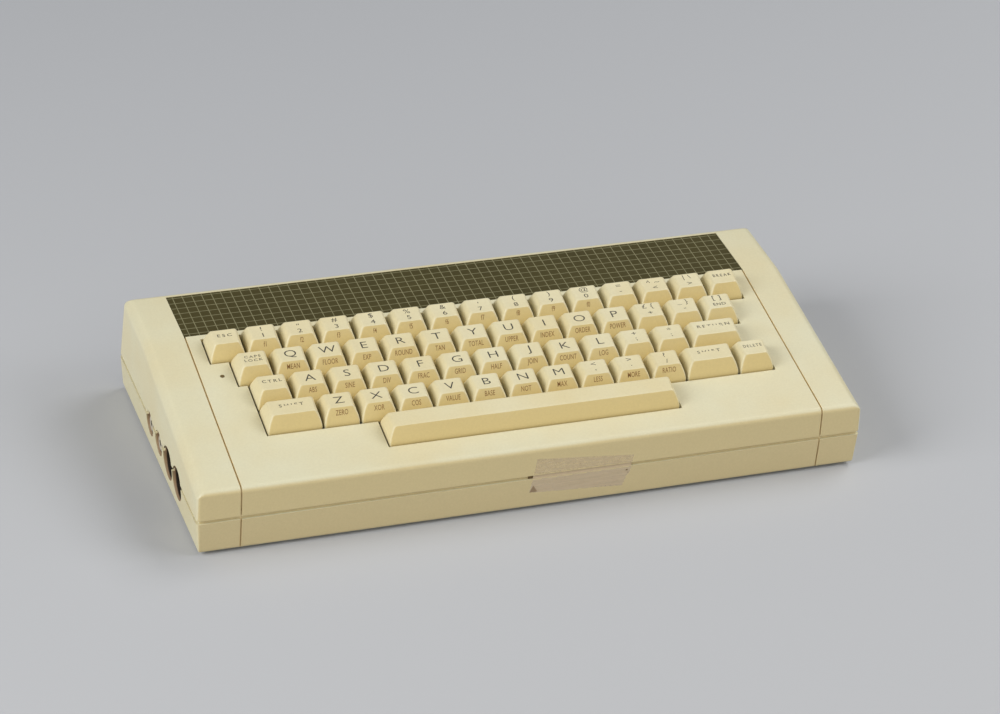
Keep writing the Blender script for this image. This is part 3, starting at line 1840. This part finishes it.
@dataclass(frozen=True)
class SoftLamp:
    """A square soft lamp that faces the computer, with its place and its side in metres."""

    name: str
    place: tuple[float, float, float]
    side: float
    power: float

    def hang(self) -> None:
        """Hangs the lamp in the scene."""
        data = bpy.data.lights.new(self.name, "AREA")
        data.shape = "SQUARE"
        data.size = self.side
        data.energy = self.power
        lamp = bpy.data.objects.new(self.name, data)
        turn = (-Vector(self.place)).to_track_quat("-Z", "Y").to_matrix().to_4x4()
        lamp.matrix_world = Matrix.Translation(self.place) @ turn
        bpy.context.scene.collection.objects.link(lamp)


@dataclass
class Studio:
    """The floor, the lamps and the camera; the floor's sizes are in metres."""

    camera_turn: float = -20.299
    camera_height: float = 31.009
    camera_roll: float = 3.578
    target: tuple[float, float, float] = (11.987, 16.063, 30.0)
    distance: float = 1739.209
    focal_px: float = 3381.292
    frame_px: int = 1000
    sensor_w: float = 36.0
    floor_half_w: float = 3.0
    floor_front: float = -2.5
    bend_y: float = 2.2
    bend_r: float = 1.2
    bend_steps: int = 24
    backdrop_top: float = 3.2
    room_light: float = 0.134
    room_seen: float = 0.47
    lamps: tuple[SoftLamp, ...] = (
        SoftLamp("lamp_over_right", (1.3, 0.5, 1.8), 1.2, 18.1),
        SoftLamp("lamp_left", (-2.0, -0.4, 1.3), 1.4, 44.5),
        SoftLamp("lamp_right", (1.8, -0.9, 1.5), 1.4, 21.9),
        SoftLamp("lamp_front_left", (-1.2, -1.9, 1.0), 1.6, 7.7),
        SoftLamp("lamp_front", (0.4, -2.2, 0.9), 1.6, 6.7),
    )

    def build(self) -> None:
        """Builds the studio."""
        self.build_floor()
        for lamp in self.lamps:
            lamp.hang()
        self.light_room()
        self.build_camera()
        bpy.context.scene.view_settings.view_transform = "Standard"
        LOG.info("studio: floor, %d lamps and camera", len(self.lamps))

    def build_camera(self) -> None:
        """Sets the camera where the photograph was taken from."""
        height, turn = math.radians(self.camera_height), math.radians(self.camera_turn)
        level = math.cos(height)
        back = Vector((math.sin(turn) * level, -math.cos(turn) * level, math.sin(height)))
        place = Vector(self.target) + back * self.distance
        right = (-back).cross(Vector((0, 0, 1))).normalized()
        up = right.cross(-back)
        roll = math.radians(self.camera_roll)
        rolled_right = right * math.cos(roll) + up * math.sin(roll)
        rolled_up = -right * math.sin(roll) + up * math.cos(roll)
        data = bpy.data.cameras.new("camera")
        data.sensor_width = self.sensor_w
        data.lens = self.focal_px / self.frame_px * self.sensor_w
        data.clip_start, data.clip_end = 0.05, 30.0
        camera = bpy.data.objects.new("camera", data)
        turned = Matrix((rolled_right, rolled_up, back)).transposed().to_4x4()
        camera.matrix_world = Matrix.Translation(place * MM) @ turned
        bpy.context.scene.collection.objects.link(camera)
        bpy.context.scene.camera = camera

    def build_floor(self) -> None:
        """Builds a floor that sweeps up into the backdrop."""
        mesh = bmesh.new()
        profile = [(self.floor_front, 0.0), (self.bend_y, 0.0)]
        for i in range(1, self.bend_steps + 1):
            turn = math.pi / 2 * i / self.bend_steps
            y = self.bend_y + self.bend_r * math.sin(turn)
            profile.append((y, self.bend_r * (1 - math.cos(turn))))
        profile.append((self.bend_y + self.bend_r, self.backdrop_top))
        sides = (-self.floor_half_w, self.floor_half_w)
        rows = [[mesh.verts.new((x, y, z)) for x in sides] for y, z in profile]
        for low, high in zip(rows, rows[1:]):
            mesh.faces.new((low[0], low[1], high[1], high[0]))
        floor = finished_object("floor", mesh, [FloorPaper("floor_paper")], 60.0)

    def light_room(self) -> None:
        """Sets the room's own light, and how bright the room shows behind the backdrop."""
        world = bpy.data.worlds.new("room")
        bpy.context.scene.world = world
        world.use_nodes = True
        tree = Tree(world.node_tree)
        seen = tree.node("ShaderNodeLightPath").outputs["Is Camera Ray"]
        room = tree.node("ShaderNodeBackground", Color=(1.0, 1.0, 1.0))
        strength = tree.span(seen, 0.0, 1.0, self.room_light, self.room_seen)
        tree.feed(room.inputs["Strength"], strength)
        tree.node("ShaderNodeOutputWorld", Surface=room.outputs[0])


def main() -> None:
    """Builds the computer's looks in order."""
    logging.basicConfig(level=logging.INFO, format="%(name)s: %(message)s")
    random.seed(11)
    for build_group in (build_age, build_stipple, build_specks, build_scuffs):
        build_group()
    Studio().build()
    Case().dress()
    Keyboard().build()
    Sockets().build()
    OldTape().build()


if __name__ == "__main__":
    main()
